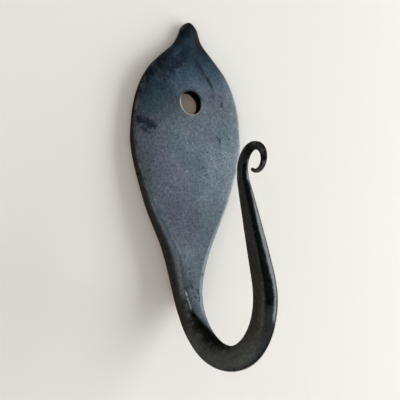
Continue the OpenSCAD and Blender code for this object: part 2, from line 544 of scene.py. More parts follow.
    def grid(self) -> tuple[np.ndarray, np.ndarray]:
        """Carries the sections along the leaf and the bar.

        A section's place is the middle line's, plus its own two distances along the sideways direction and
        along the normal of the middle line. The nib and the drawn end are rounded off by quarter ellipses.

        Returns:
            The places as rings by columns by 3, and each ring's distance from the tip.
        """
        d = self.stations()
        path, end = self.path, self.leaf_l + self.path.end
        widths, thicknesses, drifts = self.tables()
        nose = np.sqrt(np.clip(1 - (1 - np.minimum(d / self.nib_l, 1)) ** 2, 0, 1))
        close = np.sqrt(np.clip(1 - np.clip((d - end) / self.end_d + 1, 0, 1) ** 2, 0, 1))
        w = widths.at(d) * nose * close
        t = thicknesses.at(d) * (1 + nose) / 2 * close
        front_r = np.interp(d, [self.leaf_l - self.flank_rise, self.leaf_l], [self.edge_r, self.bar_r])
        rear_r = np.interp(d, [self.leaf_l, self.leaf_l + path.ease_in], [self.back_r, self.bar_r])
        arm = self.leaf_l + path.bend_end
        share = np.interp(d, [arm - path.arm_l, arm], [self.corner_share, self.arm_corner_share])
        inset = 2 * self.skin_in * np.clip(w, 0, 1)
        section = self.sections(w - inset, t - inset, front_r, rear_r, share)
        section[..., 1] -= self.crown(section, d, w, t)

        on_leaf = d <= self.leaf_l
        start = (self.seat_trim / 2 - self.neck_t / 2, -self.neck_drop)
        heading, y, z = path.place(np.maximum(d - self.leaf_l, 0), start)
        y = np.where(on_leaf, self.seat_trim - t / 2, y)
        z = np.where(on_leaf, self.tip_rise - d, z)
        x = section[..., 0] + drifts.at(d)[:, None]
        out = section[..., 1]
        y = y[:, None] - out * np.cos(heading)[:, None]
        z = z[:, None] + out * np.sin(heading)[:, None]
        return np.stack([x, y, z], axis=-1), d

    def crown(self, section: np.ndarray, d: np.ndarray, w: np.ndarray, t: np.ndarray) -> np.ndarray:
        """Eases the leaf's front down towards its edges, and rounds the drawn point and the bar over.

        The drop is the crown times the distance from the middle, as a share of half the width, to a high
        power on the leaf and squared on the point and the bar. On the leaf it fades out from the front
        face to the back.

        Args:
            section: The sections, as rings by columns by 2.
            d: Each ring's distance from the tip.
            w: Width of each ring.
            t: Thickness of each ring.

        Returns:
            The drop at each place, from the front towards the back.
        """
        away = np.abs(section[..., 0]) / np.maximum(w[:, None] / 2, LEAST)
        height = np.clip(section[..., 1] / np.maximum(t[:, None] / 2, LEAST), -1, 1)
        point = 1 - Fade(self.point_l * self.point_crown_share, self.point_l).at(d)
        point *= np.minimum(w / self.point_w, 1)
        leaf = 1 - Fade(self.leaf_l - self.flank_rise, self.flank_rise).at(d)
        bar = Fade(self.leaf_l, self.path.ease_in).at(d) * self.bar_crown * w
        drop = self.face_crown * leaf[:, None] * away**self.face_crown_power
        drop += self.point_crown * point[:, None] * away**2
        return drop * np.maximum(height, 0) + bar[:, None] / 2 * away**2 * height

    def hammered(self, places: np.ndarray) -> np.ndarray:
        """Sinks the skin along its normals by the depth of the hammer's marks, and flattens the seat.

        A normal is the cross product of the steps to the next ring and to the next column.

        Args:
            places: The skin's rings by columns by 3.

        Returns:
            The dented places.
        """
        along = np.gradient(places, axis=0)
        around = (np.roll(places, -1, axis=1) - np.roll(places, 1, axis=1)) / 2
        normal = np.cross(around, along)
        area = np.linalg.norm(normal, axis=-1, keepdims=True)
        normal /= np.maximum(area, LEAST)
        flat = places.reshape(-1, 3)
        depth = sum(marks.depth_at(flat, area.reshape(-1)) for marks in self.dents)
        sunk = places - normal * depth.reshape(places.shape[:2])[..., None]
        sunk[..., 1] = np.minimum(sunk[..., 1], 0.0)
        sunk[..., 2] = np.minimum(sunk[..., 2], self.tip_rise - self.skin_in)
        return sunk

    def hole_block(self, places: np.ndarray, d: np.ndarray) -> HoleBlock:
        """Finds the block of cells about the origin, in front and at the back.

        Args:
            places: The skin's rings by columns by 3.
            d: Each ring's distance from the tip.

        Returns:
            The block, whose outline is nearly square on the metal.
        """
        front, rear = self.patch_start(Patch.FRONT_FACE), self.patch_start(Patch.REAR_FACE)
        ring, half = int(np.argmin(np.abs(d - self.tip_rise))), self.hole_half_cells
        cell = (self.leaf_w - 2 * self.edge_r) / self.face_cells
        step = int(np.argmin(np.abs(places[ring, front : front + self.face_cells, 0])))
        ring_half = round(half * cell / self.leaf_step * self.hole_squeeze)
        return HoleBlock(ring, front + step, rear + self.face_cells - step, half, ring_half)

    def drill(self, places: np.ndarray, block: HoleBlock) -> np.ndarray:
        """Moves the grid round the hole onto circles, in front and at the back.

        rho is a place's distance from the block's middle, counted so that it is 1 all along the block's
        outline. A place goes to the radius hole_d / 2 * rho plus the rim, at the angle that its step along
        the outline stands for. The move is whole at rho 1 and fades out towards the ease.

        Args:
            places: The skin as rings by columns by 3. It is changed in place.
            block: The cells that the hole takes.

        Returns:
            True at the places on the block's outline and inside it.
        """
        rings, columns = np.indices(places.shape[:2])
        inside = np.zeros(rings.shape, bool)
        for column, mirror in ((block.front, 1.0), (block.rear, -1.0)):
            across = -(columns - column) / block.half * mirror
            up = -(rings - block.ring) / block.ring_half
            rho = np.maximum(np.abs(across), np.abs(up))
            near = (rho < self.hole_ease) & (rho > 0)
            with np.errstate(divide="ignore", invalid="ignore"):
                steep = np.pi / 2 - np.pi / 4 * across / up + np.where(up < 0, np.pi, 0)
                level = np.pi / 4 * up / across + np.where(across < 0, np.pi, 0)
            angle = np.where(np.abs(up) > np.abs(across), steep, level)
            radius = self.hole_d / 2 + self.hole_rim + self.hole_flat + (rho - 1) * self.hole_d / 2
            blend = 1 - smoothstep((rho - 1) / (self.hole_ease - 1))
            for axis, target in ((0, radius * np.cos(angle)), (2, radius * np.sin(angle))):
                old = places[..., axis]
                places[..., axis] = np.where(near, old + (target - old) * blend, old)
            inside |= rho <= 1
        return inside

    def bore(self, flat: np.ndarray, front: np.ndarray, rear: np.ndarray) -> tuple[np.ndarray, np.ndarray]:
        """Lines the hole: a narrow flat, a quarter-round rim, a straight wall, and the same at the back.

        Args:
            flat: All the skin's places.
            front: The places' numbers round the hole in front.
            rear: The same round the hole at the back.

        Returns:
            The wall's own places and all its quads.
        """
        turn = np.radians(np.linspace(0, 90, self.rim_cells + 1))
        lip = self.hole_rim
        depth_in = lip * (1 - np.cos(turn))
        radius_in = self.hole_d / 2 + lip * (1 - np.sin(turn))
        angle = np.arctan2(flat[front, 2], flat[front, 0])
        y_front, y_rear = flat[front, 1], flat[rear, 1]
        rows = [(y_front + step, radius) for step, radius in zip(depth_in, radius_in)]
        wall_l = y_rear - y_front - 2 * lip
        rows += [(y_front + lip + wall_l * share, self.hole_d / 2) for share in self.wall_rows]
        rows += [(y_rear - step, radius) for step, radius in zip(depth_in[::-1], radius_in[::-1])]
        wall = [np.stack([radius * np.cos(angle), y, radius * np.sin(angle)], axis=1) for y, radius in rows]
        first = len(flat) + np.arange(len(rows) * len(front)).reshape(len(rows), -1)
        return np.concatenate(wall), strip_quads(np.concatenate([front[None, :], first, rear[None, :]]))

    def caps(self, index: np.ndarray, first: int) -> np.ndarray:
        """Closes the two ends, each with a fan of triangles about one middle place.

        Args:
            index: The numbers of the skin's places, as rings by columns.
            first: The number of the tip's middle place. The end's middle comes after it.

        Returns:
            The triangles.
        """
        tip, end = index[0], index[-1]
        return np.concatenate([
            np.stack([np.roll(tip, -1), tip, np.full(len(tip), first)], axis=1),
            np.stack([end, np.roll(end, -1), np.full(len(end), first + 1)], axis=1),
        ])

    def patch_shares(self) -> np.ndarray:
        """Says how far each column belongs to the leaf's front and to the bar's outer face.

        The front's share is 1 on the front face and on its right corner. On its left corner it is 1 less
        the smooth step of rate * k - shift, where k runs from 0 to 1 over the corner.

        Returns:
            Three rows over the columns: the front's share without the shift and with it, and the share of
            the outer face.
        """
        rate, shift = self.scale.corner_rate, self.scale.corner_shift
        shares = []
        for patch, cells in self.outline_cells().items():
            k, whole, none = np.arange(cells) / cells, np.ones(cells), np.zeros(cells)
            front = {Patch.FRONT_FACE: whole, Patch.FRONT_RIGHT_CORNER: whole}
            plain = front | {Patch.FRONT_LEFT_CORNER: 1 - smoothstep(k * rate)}
            shifted = front | {Patch.FRONT_LEFT_CORNER: 1 - smoothstep(k * rate - shift)}
            outer = {Patch.REAR_FACE: whole, Patch.REAR_LEFT_CORNER: k, Patch.REAR_RIGHT_CORNER: 1 - k}
            shares.append(np.stack([part.get(patch, none) for part in (plain, shifted, outer)]))
        return np.concatenate(shares, axis=1)

    def edge_wear(self, places: np.ndarray) -> np.ndarray:
        """Works out how near each place is to a front corner: exp(-distance^2 / reach^2).

        Args:
            places: The skin's rings by columns by 3.

        Returns:
            1 in the middle of a front corner, and less further away.
        """
        corners = (Patch.FRONT_RIGHT_CORNER, Patch.FRONT_LEFT_CORNER)
        middles = [places[:, self.patch_start(patch) + self.corner_cells // 2, None] for patch in corners]
        away = np.minimum(*(np.linalg.norm(places - middle, axis=-1) for middle in middles))
        return np.exp(-((away / self.scale.wear_reach) ** 2))

    def guides(self, places: np.ndarray, d: np.ndarray) -> dict[str, np.ndarray]:
        """Works out what the finish goes by at each place.

        Args:
            places: The skin's rings by columns by 3.
            d: Each ring's distance from the tip.

        Returns:
            Values by name: edge is the wear of the front corners, which on the bar also carries a painted
            highlight, face is 1 on the leaf's scale and 0 on the black bar, polish is 1 on the bar's outer
            face, dusk is 1 where the painted shade near the tip is darkest, shade is the painted light and
            shade of the scale, and tone is the painted light and shade of the bar.
        """
        scale, x = self.scale, places[..., 0]
        along = np.repeat(d[:, None], places.shape[1], axis=1)
        middle = (x.max(axis=1) + x.min(axis=1))[:, None] / 2
        across = (x - middle) / np.maximum(np.ptp(x, axis=1)[:, None] / 2, LEAST)
        plain, shifted, outer = self.patch_shares()
        front = plain + (shifted - plain) * scale.lower_leaf.at(along)
        scale_end = self.leaf_l + scale.run + scale.slant * across
        beyond = smoothstep((along - scale_end) / scale.fade + 0.5)
        guides = {
            "edge": self.edge_wear(places),
            "face": front * (1 - beyond),
            "polish": outer * Fade(self.leaf_l + self.path.ease_in, self.path.ease_in).at(along),
            "top_shade": scale.top_shade.at(places[..., 2] - scale.dusk_lean * x),
            "shade": scale.shade(np.minimum(along, scale_end.max() + scale.fade), across),
            "tone": scale.tone(along, plain * beyond),
        }
        return {name: guide.reshape(-1) for name, guide in guides.items()}

    def skin(self) -> SkinData:
        """Joins the rings into one closed skin with its screw hole.

        Returns:
            The skin. Besides the guides, bore is 1 in the hole and rim is 1 on its front rim.
        """
        places, d = self.grid()
        places = self.hammered(places)
        index = np.arange(len(d) * places.shape[1]).reshape(len(d), -1)
        block = self.hole_block(places, d)
        inside = self.drill(places, block)
        quads = strip_quads(index)
        quads = quads[~inside.reshape(-1)[quads].all(axis=1)]

        loop, flat = block.loop(), places.reshape(-1, 3)
        front_rim = index[block.ring + loop[:, 1], block.front + loop[:, 0]]
        rear_rim = index[block.ring + loop[:, 1], block.rear - loop[:, 0]]
        wall, wall_quads = self.bore(flat, front_rim, rear_rim)
        ends = np.stack([places[0].mean(axis=0), places[-1].mean(axis=0)])
        values = {
            name: np.concatenate([guide, np.zeros(len(wall)), guide[[0, -1]]])
            for name, guide in self.guides(places, d).items()
        }
        on_rim = np.arange(len(wall)) < len(front_rim) * self.rim_cells
        for name, share in (("bore", np.ones(len(wall))), ("rim", on_rim.astype(float))):
            values[name] = np.concatenate([np.zeros(len(flat)), share, np.zeros(len(ends))])
        every_place = np.concatenate([flat, wall, ends])
        triangles = self.caps(index, len(flat) + len(wall))
        skin = SkinData(every_place, np.concatenate([quads, wall_quads]), triangles, values)
        return skin.without_loose_places()

    def build(self) -> bpy.types.Object:
        """Makes the hook's object."""
        return make_object("forged_hook", self.skin())


def make_object(name: str, skin: SkinData) -> bpy.types.Object:
    """Makes a smooth-shaded object at the origin from a skin.

    Args:
        name: The object's name.
        skin: The skin, with its places in millimetres.

    Returns:
        The object, linked to the scene, with the skin's values as its mesh's attributes.
    """
    mesh = bpy.data.meshes.new(name)
    loops = np.concatenate([skin.quads.reshape(-1), skin.triangles.reshape(-1)])
    sizes = np.repeat([4, 3], [len(skin.quads), len(skin.triangles)])
    starts = np.concatenate([[0], np.cumsum(sizes)[:-1]])
    mesh.vertices.add(len(skin.places))
    mesh.vertices.foreach_set("co", (skin.places * MM).astype(np.float32).ravel())
    mesh.loops.add(len(loops))
    mesh.loops.foreach_set("vertex_index", loops.astype(np.int32))
    mesh.polygons.add(len(sizes))
    mesh.polygons.foreach_set("loop_start", starts.astype(np.int32))
    mesh.update(calc_edges=True)
    mesh.validate()
    for key, value in skin.values.items():
        mesh.attributes.new(key, "FLOAT", "POINT").data.foreach_set("value", value.astype(np.float32))
    mesh.shade_smooth()
    piece = bpy.data.objects.new(name, mesh)
    bpy.context.scene.collection.objects.link(piece)
    return piece


def make_sheet(name: str, x: np.ndarray, y: np.ndarray, z: np.ndarray) -> bpy.types.Object:
    """Makes an object from a grid of places, whose front is where its rows and then its columns turn left.

    Args:
        name: The object's name.
        x: Each place's x in millimetres, as rows by columns.
        y: The same for y.
        z: The same for z.

    Returns:
        The object.
    """
    places = np.stack(np.broadcast_arrays(x, y, z), axis=-1)
    at = np.arange(places[..., 0].size).reshape(places.shape[:2])
    quads = np.stack([at[:-1, :-1], at[1:, :-1], at[1:, 1:], at[:-1, 1:]], axis=-1)
    return make_object(name, SkinData(places.reshape(-1, 3), quads.reshape(-1, 4)))


@dataclass(frozen=True)
class Noise:
    """A cloudy noise: its waves to the metre, its layers of detail, their strength, and its seed."""

    scale: float
    detail: float
    rough: float
    seed: float = 0.0


@dataclass(frozen=True)
class Blotch:
    """Cloudy patches: their waves to the metre, the two levels of noise they lie between, push and seed."""

    scale: float
    low: float
    high: float
    push: float
    seed: float


@dataclass(frozen=True)
class Spots:
    """Scattered spots: cells to the metre, the share of cells with one, and their size and softness."""

    scale: float
    share: float
    size: float
    soft: float = 0.6


class Tree:
    """A short way to place and join nodes in a node tree."""

    def __init__(self, tree: bpy.types.NodeTree) -> None:
        """Keeps the tree that nodes are placed in."""
        self.tree = tree

    def add(self, kind: str, inputs: dict[str | int, Feed] | None = None, **settings: object) -> Node:
        """Places a node.

        Args:
            kind: The node's type, without its ShaderNode prefix.
            inputs: Sockets by name or number, each with a value or with the socket that feeds it.
            settings: The node's own settings.

        Returns:
            The node.
        """
        node = self.tree.nodes.new(kind if kind.startswith("NodeGroup") else "ShaderNode" + kind)
        for key, value in settings.items():
            setattr(node, key, value)
        for key, value in (inputs or {}).items():
            self.feed(node.inputs[key], value)
        return node

    def feed(self, socket: Socket, value: Feed) -> None:
        """Links a socket to another, or sets its value.

        Args:
            socket: The socket to feed.
            value: Another socket, a number, a vector, or a colour of three numbers, which gets a full alpha.
        """
        if isinstance(value, Socket):
            self.tree.links.new(value, socket)
        elif socket.type == "RGBA":
            socket.default_value = (*value, 1.0)
        else:
            socket.default_value = value

    def times(self, first: Feed, second: Feed) -> Socket:
        """Multiplies two numbers."""
        return self.math("MULTIPLY", first, second)

    def math(self, operation: str, *values: Feed, clamp: bool = False) -> Socket:
        """Does arithmetic on numbers."""
        return self.add("Math", dict(enumerate(values)), operation=operation, use_clamp=clamp).outputs[0]

    def vector(self, operation: str, *values: Feed, output: str = "Vector") -> Socket:
        """Does arithmetic on vectors."""
        return self.add("VectorMath", dict(enumerate(values)), operation=operation).outputs[output]

    def scaled(self, vector: Feed, factor: Feed) -> Socket:
        """Gives a vector times a number."""
        return self.add("VectorMath", {0: vector, "Scale": factor}, operation="SCALE").outputs[0]

    def ramp(self, value: Feed, low: Feed, high: Feed, start: Feed = 0.0, end: Feed = 1.0) -> Socket:
        """Carries a value smoothly from the range low to high onto the range start to end."""
        inputs = {"Value": value, "From Min": low, "From Max": high, "To Min": start, "To Max": end}
        return self.add("MapRange", inputs, interpolation_type="SMOOTHSTEP").outputs["Result"]

    def mix(self, share: Feed, first: Feed, second: Feed, blend: str = "MIX") -> Socket:
        """Mixes two colours."""
        return self.add("Mix", {0: share, 6: first, 7: second}, data_type="RGBA", blend_type=blend).outputs[2]

    def dim(self, colour: Feed, level: Socket) -> Socket:
        """Gives a colour times a number."""
        grey = self.add("CombineColor", {0: level, 1: level, 2: level}).outputs[0]
        return self.mix(1.0, colour, grey, "MULTIPLY")

    def noise(self, where: Socket, look: Noise, seed: Socket | None = None) -> Outputs:
        """Places a smooth noise.

        Args:
            where: The place that it is read at.
            look: Its scale, detail, roughness and seed.
            seed: A socket that gives another seed.

        Returns:
            Its outputs.
        """
        inputs = {"Vector": where, "Scale": look.scale, "Detail": look.detail, "Roughness": look.rough}
        inputs["W"] = look.seed if seed is None else seed
        return self.add("TexNoise", inputs, noise_dimensions="4D").outputs

    def group(self, group: bpy.types.NodeTree, where: Socket, inputs: dict[str, Feed]) -> Socket:
        """Places a group.

        Args:
            group: The group, whose input for the place is called Vector.
            where: The place that it is read at.
            inputs: Its other inputs, by their names in lower case.

        Returns:
            Its mask.
        """
        node = self.add("Group", {"Vector": where}, node_tree=group)
        for name, value in inputs.items():
            self.feed(node.inputs[name.capitalize()], value)
        return node.outputs["Mask"]

    def seen(self) -> Socket:
        """Tells the rays that see the studio's background from those that light the metal.

        Returns:
            1 for the rays of the camera, of gloss and of clear materials, and 0 for the others.
        """
        ray = self.add("LightPath").outputs
        seen = self.math("MAXIMUM", ray["Is Camera Ray"], ray["Is Glossy Ray"])
        return self.math("MAXIMUM", seen, ray["Is Transmission Ray"])


def blank_material(name: str) -> tuple[bpy.types.Material, Tree]:
    """Makes a material with an empty tree.

    Args:
        name: The material's name.

    Returns:
        The material and its tree.
    """
    material = bpy.data.materials.new(name)
    material.use_nodes = True
    material.node_tree.nodes.clear()
    return material, Tree(material.node_tree)


class Effects:
    """The effects that the finish is put together from. Each is a node group that gives a mask."""

    push = Noise(260.0, 2.0, 0.5)
    ragged = Noise(900.0, 4.0, 0.7)
    cloud_detail = 4.0
    cloud_rough = 0.6
    least_reach = 0.001

    def __init__(self) -> None:
        """Builds each group once."""
        self.blotch = self.build_blotch()
        self.pits = self.build_pits()
        self.streak = self.build_streak()

    @staticmethod
    def start(name: str, inputs: dict[str, Feed]) -> tuple[Tree, Outputs]:
        """Opens a group.

        Args:
            name: The group's name.
            inputs: Its inputs after Vector, and their first values. Three numbers make a vector socket.

        Returns:
            The group's tree, and the sockets that give its inputs.
        """
        group = bpy.data.node_groups.new(name, "ShaderNodeTree")
        for key, value in {"Vector": (0.0, 0.0, 0.0), **inputs}.items():
            kind = "NodeSocketVector" if isinstance(value, tuple) else "NodeSocketFloat"
            group.interface.new_socket(key, in_out="INPUT", socket_type=kind).default_value = value
        group.interface.new_socket("Mask", in_out="OUTPUT", socket_type="NodeSocketFloat")
        tree = Tree(group)
        return tree, tree.add("NodeGroupInput").outputs

    @staticmethod
    def close(tree: Tree, mask: Socket) -> bpy.types.NodeTree:
        """Joins the mask to the group's output, and gives the group."""
        tree.add("NodeGroupOutput", {"Mask": mask})
        return tree.tree

    def build_blotch(self) -> bpy.types.NodeTree:
        """Makes cloudy patches: noise read at a place that another noise has pushed, cut between two levels.

        Returns:
            The group.
        """
        inputs = {"Scale": 100.0, "Low": 0.45, "High": 0.6, "Push": 0.003, "Seed": 0.0}
        t, given = self.start("forge_blotch", inputs)
        push = t.noise(given["Vector"], self.push, given["Seed"])["Color"]
        push = t.scaled(t.vector("SUBTRACT", push, (0.5, 0.5, 0.5)), given["Push"])
        cloud = Noise(given["Scale"], self.cloud_detail, self.cloud_rough)
        level = t.noise(t.vector("ADD", given["Vector"], push), cloud, given["Seed"])["Fac"]
        return self.close(t, t.ramp(level, given["Low"], given["High"]))

    def build_pits(self) -> bpy.types.NodeTree:
        """Makes scattered spots: near a cell's point, where the cell's own random number is high enough.

        Returns:
            The group.
        """
        t, given = self.start("forge_pits", {"Scale": 900.0, "Share": 0.2, "Size": 0.4, "Soft": 0.5})
        cells = t.add("TexVoronoi", {"Vector": given["Vector"], "Scale": given["Scale"]})
        chance = t.add("SeparateColor", {"Color": cells.outputs["Color"]}).outputs[0]
        over = t.math("SUBTRACT", chance, t.math("SUBTRACT", 1.0, given["Share"]), clamp=True)
        weight = t.math("DIVIDE", over, given["Share"])
        reach = t.times(given["Size"], t.math("SQRT", weight))
        inner = t.times(reach, t.math("SUBTRACT", 1.0, given["Soft"]))
        outer = t.math("ADD", reach, self.least_reach)
        return self.close(t, t.ramp(cells.outputs["Distance"], inner, outer, 1.0, 0.0))

    def build_streak(self) -> bpy.types.NodeTree:
        """Makes a line-shaped mark: the distance to a line, made uneven by noise, cut between two reaches.

        Returns:
            The group.
        """
        ends = {"Start": (0.0, 0.0, 0.0), "End": (0.0, 0.0, 0.01)}
        inputs = {**ends, "Radius": 0.0002, "Soft": 0.0003, "Waver": 0.0002}
        t, given = self.start("forge_streak", inputs)
        run = t.vector("SUBTRACT", given["End"], given["Start"])
        off = t.vector("SUBTRACT", given["Vector"], given["Start"])
        ahead, length = (t.vector("DOT_PRODUCT", way, run, output="Value") for way in (off, run))
        nearest = t.scaled(run, t.math("DIVIDE", ahead, length, clamp=True))
        far = t.vector("LENGTH", t.vector("SUBTRACT", off, nearest), output="Value")
        ragged = t.math("SUBTRACT", t.noise(given["Vector"], self.ragged)["Fac"], 0.5)
        far = t.math("ADD", far, t.times(ragged, given["Waver"]))
        edge = t.math("ADD", given["Radius"], given["Soft"])
        return self.close(t, t.ramp(far, given["Radius"], edge, 1.0, 0.0))


class MarkKind(Enum):
    """What a mark on the metal is."""

    PLUM = "plum heat tint"
    TEAL = "teal heat tint"
    NAVY = "navy patch of thin scale"
    LINE = "dark line folded in by the hammer"
    BRIGHT = "bright scratch or speck of bare metal"


@dataclass(frozen=True)
class Mark:
    """One line-shaped mark, from one place to another, in millimetres."""

    start: Point
    end: Point
    radius: float
    soft: float
    waver: float = 0.0
    strength: float = 1.0

    def inputs(self) -> dict[str, Feed]:
        """Gives what the streak's group is fed, in metres."""
        ends = {"start": tuple(v * MM for v in self.start), "end": tuple(v * MM for v in self.end)}
        return ends | {"radius": self.radius * MM, "soft": self.soft * MM, "waver": self.waver * MM}


MARKS: dict[MarkKind, tuple[Mark, ...]] = {
    MarkKind.PLUM: (
        Mark((5.5, -3.2, 2.8), (9.0, -3.2, 3.4), 1.2, 2.5, 2.0, 0.8),
        Mark((-12.0, -3.2, -8.5), (-10.0, -3.2, -16.0), 1.5, 3.0, 3.0, 0.8),
        Mark((-6.0, -3.2, -22.0), (-3.0, -3.2, -36.0), 3.0, 4.0, 4.0, 0.7),
    ),
    MarkKind.TEAL: (
        Mark((-13.0, -3.2, 6.0), (-11.0, -3.2, -1.0), 2.0, 3.0, 3.0, 0.8),
        Mark((11.2, -3.2, -6.5), (12.5, -3.2, -11.0), 0.8, 2.0, 2.5, 0.8),
    ),
    MarkKind.NAVY: (
        # Smears along the fold to the right of the hole.
        Mark((1.6, -3.0, 11.6), (6.4, -3.2, 6.2), 0.25, 0.9, 3.0, 0.6),
        Mark((6.9, -3.2, 5.2), (7.3, -3.2, 2.6), 0.1, 0.8, 2.5, 0.4),
        # Smears down the left shoulder.
        Mark((-0.8, -2.8, 15.4), (-2.4, -3.0, 12.8), 0.4, 1.2, 7.0, 0.7),
        Mark((-2.4, -3.1, 12.4), (-5.8, -3.2, 8.8), 0.7, 1.3, 8.0, 0.8),
        Mark((-6.6, -3.2, 7.6), (-8.7, -3.2, 2.6), 0.3, 1.2, 7.0, 0.6),
        # The patch at the left edge.
        Mark((-15.4, -3.2, -6.9), (-11.6, -3.2, -8.2), 0.5, 1.2, 5.0, 1.0),
        Mark((-14.6, -3.2, -9.2), (-13.4, -3.2, -9.9), 0.1, 0.7, 4.0, 0.7),
        # A broad smear above it, and a small one low at the right edge.
        Mark((-11.4, -3.2, 9.6), (-13.6, -3.2, 4.4), 0.8, 1.6, 8.0, 0.8),
        Mark((8.2, -3.2, -31.5), (8.8, -3.2, -33.0), 0.1, 0.7, 1.2, 0.6),
    ),
    MarkKind.LINE: (
        # The fold that runs from the point past the hole.
        Mark((0.4, -2.9, 14.0), (3.4, -3.1, 10.0), 0.08, 0.40, 2.2, 0.7),
        Mark((3.4, -3.1, 10.0), (5.2, -3.2, 7.9), 0.05, 0.40, 1.6, 0.7),
        Mark((5.2, -3.2, 7.9), (6.5, -3.2, 5.7), 0.25, 0.45, 1.4, 0.95),
        # Nicks on the right half.
        Mark((10.1, -3.2, 1.6), (10.2, -3.2, 0.5), 0.15, 0.35, 0.5, 0.9),
        Mark((9.4, -3.2, -9.2), (9.5, -3.2, -10.2), 0.15, 0.35, 0.4, 0.9),
        Mark((8.4, -3.2, -8.4), (8.8, -3.2, -9.1), 0.05, 0.3, 0.3, 0.8),
        Mark((6.9, -3.2, -12.5), (6.9, -3.2, -22.0), 0.02, 0.3, 0.5, 0.3),
        # Soot on the left shoulder and in the patch at the left edge.
        Mark((-2.8, -3.1, 11.6), (-6.2, -3.2, 7.9), 0.1, 0.8, 7.0, 0.5),
        Mark((-9.2, -3.0, 10.6), (-12.4, -3.0, 6.6), 0.7, 1.6, 9.0, 0.7),
        Mark((-12.8, -3.0, 5.4), (-14.6, -3.0, 2.8), 0.4, 1.3, 7.0, 0.6),
        Mark((-15.2, -3.2, -7.2), (-11.6, -3.2, -8.0), 0.2, 0.7, 4.0, 0.85),
        Mark((-14.2, -3.1, 7.6), (-15.4, -3.1, 1.0), 0.3, 1.0, 5.0, 0.8),
        # Folds and pits at the neck.
        Mark((-1.6, -6.6, -48.6), (-3.4, -6.8, -50.6), 0.1, 0.5, 2.5, 0.4),
        Mark((-4.0, -6.8, -50.2), (-3.7, -7.6, -54.0), 0.2, 0.6, 2.0, 0.8),
        Mark((-1.9, -6.7, -49.2), (-1.5, -6.9, -50.0), 0.10, 0.30, 1.2, 0.6),
        Mark((0.0, -7.0, -50.9), (0.3, -7.2, -51.7), 0.20, 0.35, 1.5, 0.85),
        Mark((0.4, -7.5, -52.7), (0.2, -7.6, -53.4), 0.20, 0.35, 1.5, 0.85),
        Mark((-0.9, -7.4, -52.2), (-0.7, -7.5, -52.7), 0.15, 0.35, 1.3, 0.7),
        # A soft smudge to the upper left of the hole.
        Mark((-7.0, -3.1, 12.4), (-9.0, -3.2, 6.6), 1.0, 1.5, 8.0, 0.7),
    ),
    MarkKind.BRIGHT: (
        Mark((0.8, -3.3, -30.7), (0.85, -3.3, -30.75), 0.10, 0.12, 0.0, 1.0),
        Mark((2.2, -3.3, -24.5), (2.22, -3.3, -24.5), 0.06, 0.12, 0.0, 0.7),
        Mark((-3.5, -6.8, -50.6), (-3.0, -7.3, -52.8), 0.04, 0.28, 0.9, 0.95),
        Mark((-3.0, -7.3, -52.6), (-2.6, -8.1, -55.2), 0.02, 0.24, 0.9, 0.85),
        Mark((-2.6, -7.9, -55.0), (-1.9, -8.6, -57.2), 0.00, 0.20, 0.9, 0.4),
        Mark((-1.8, -7.3, -52.0), (-1.2, -7.6, -52.6), 0.02, 0.18, 0.6, 0.3),
    ),
}


